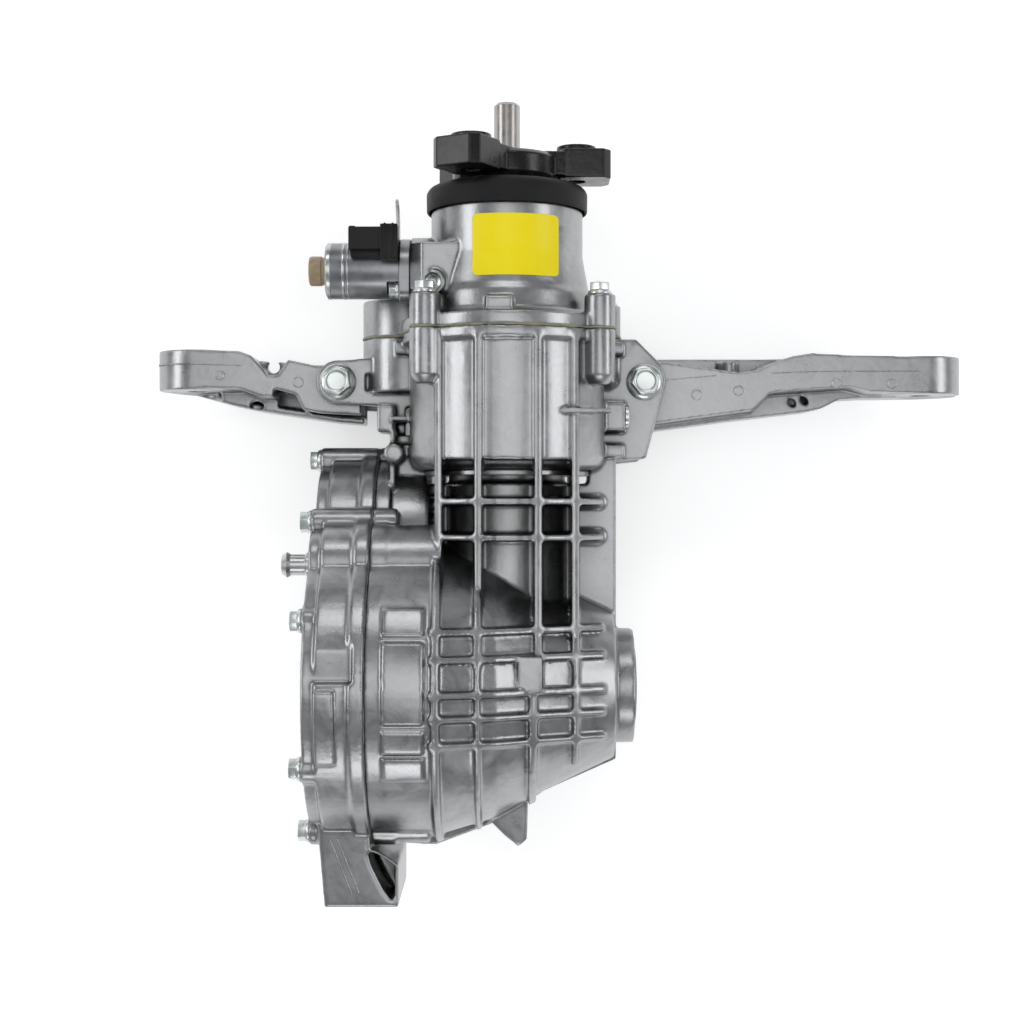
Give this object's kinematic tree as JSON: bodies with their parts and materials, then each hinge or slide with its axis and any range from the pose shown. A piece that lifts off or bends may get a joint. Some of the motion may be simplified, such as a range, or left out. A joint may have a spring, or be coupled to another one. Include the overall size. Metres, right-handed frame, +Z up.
{
  "type": "rear differential",
  "caption": "Rear axle drive unit in a ribbed cast casing, with clutch nose, coupling flange, two mounting arms, side cover and rear foot.",
  "frame": {"origin": "where the axle line crosses the outer face of the right output boss", "axes": "+X along the axle line out of the right output, +Y along the pinion axis towards the input flange, +Z up, the side that the picture shows"},
  "size_m": [0.585, 0.552, 0.222],
  "materials": {
    "cast_aluminium": "satin as-cast",
    "zinc_steel": "zinc plated",
    "bare_steel": "machined",
    "bearing_steel": "ground",
    "black_paint": "gloss",
    "black_rubber": "matte",
    "black_plastic": "satin",
    "tan_plastic": "satin",
    "friction_lining": "matte",
    "cast_iron": "as-cast",
    "yellow_label": "satin"
  },
  "bodies": {
    "housing": {"main_housing": "cast_aluminium", "front_housing": "cast_aluminium", "side_cover": "cast_aluminium", "left_arm": "cast_aluminium", "right_arm": "cast_aluminium", "arm_bolts": "zinc_steel", "cover_bolts": "zinc_steel", "front_bolts": "zinc_steel", "fill_plug": "bare_steel", "passage_plug": "bare_steel", "breather_barb": "zinc_steel", "input_seal": "black_rubber", "input_bearing_outer": "bearing_steel", "solenoid_body": "zinc_steel", "solenoid_cap": "tan_plastic", "solenoid_connector": "black_plastic", "solenoid_bracket": "bare_steel", "solenoid_bolt": "zinc_steel", "head_bearing_cup": "bearing_steel", "tail_bearing_cup": "bearing_steel", "left_carrier_cup": "bearing_steel", "right_carrier_cup": "bearing_steel", "left_seal": "black_rubber", "right_seal": "black_rubber", "blank_label": "yellow_label"},
    "input": {"input_flange": "black_paint", "flange_nut": "bare_steel", "dust_shield": "black_plastic", "input_bearing_inner": "bearing_steel", "input_shaft": "bare_steel", "clutch_drum": "bare_steel", "steel_plates": "bare_steel", "pressure_plate": "bare_steel", "thrust_bearing": "bearing_steel"},
    "piston": {"clutch_piston": "cast_aluminium", "piston_seals": "black_rubber"},
    "pinion": {"drive_pinion": "bare_steel", "head_bearing_cone": "bearing_steel", "pinion_spacer": "bare_steel", "tail_bearing_cone": "bearing_steel", "pinion_nut": "bare_steel", "clutch_hub": "bare_steel", "friction_plates": "friction_lining"},
    "carrier": {"ring_gear": "bare_steel", "ring_gear_bolts": "bare_steel", "diff_case": "cast_iron", "cross_pin": "bare_steel", "cross_pin_lock": "bare_steel", "spider_washers": "bare_steel", "left_carrier_cone": "bearing_steel", "right_carrier_cone": "bearing_steel"},
    "front_spider": {"front_spider_gear": "bare_steel"},
    "rear_spider": {"rear_spider_gear": "bare_steel"},
    "left_side": {"left_side_gear": "bare_steel"},
    "right_side": {"right_side_gear": "bare_steel"}
  },
  "joints": [
    {"name": "input_spin", "type": "hinge", "parent": "housing", "child": "input", "pos_m": [-0.0875, 0.3, 0], "axis": [0, 1, 0], "continuous": true},
    {"name": "piston_stroke", "type": "slide", "parent": "housing", "child": "piston", "axis": [0, 1, 0], "range_m": [0, 0.0012]},
    {"name": "carrier_spin", "type": "hinge", "parent": "housing", "child": "carrier", "pos_m": [-0.0875, 0, 0], "axis": [1, 0, 0], "continuous": true},
    {"name": "pinion_spin", "type": "hinge", "parent": "housing", "child": "pinion", "pos_m": [-0.0875, 0.127, 0], "axis": [0, 1, 0], "continuous": true},
    {"name": "left_side_spin", "type": "hinge", "parent": "carrier", "child": "left_side", "pos_m": [-0.0975, 0, 0], "axis": [1, 0, 0], "continuous": true},
    {"name": "right_side_spin", "type": "hinge", "parent": "carrier", "child": "right_side", "pos_m": [-0.0975, 0, 0], "axis": [1, 0, 0], "continuous": true},
    {"name": "front_spider_spin", "type": "hinge", "parent": "carrier", "child": "front_spider", "pos_m": [-0.0975, 0, 0], "axis": [0, 0, 1], "continuous": true},
    {"name": "rear_spider_spin", "type": "hinge", "parent": "carrier", "child": "rear_spider", "pos_m": [-0.0975, 0, 0], "axis": [0, 0, 1], "continuous": true}
  ],
  "couplings": [
    {"joint": "pinion_spin", "follows": "carrier_spin", "ratio": 2.6429},
    {"joint": "right_side_spin", "follows": "left_side_spin", "ratio": -1},
    {"joint": "front_spider_spin", "follows": "left_side_spin", "ratio": 1.6},
    {"joint": "rear_spider_spin", "follows": "left_side_spin", "ratio": -1.6}
  ]
}
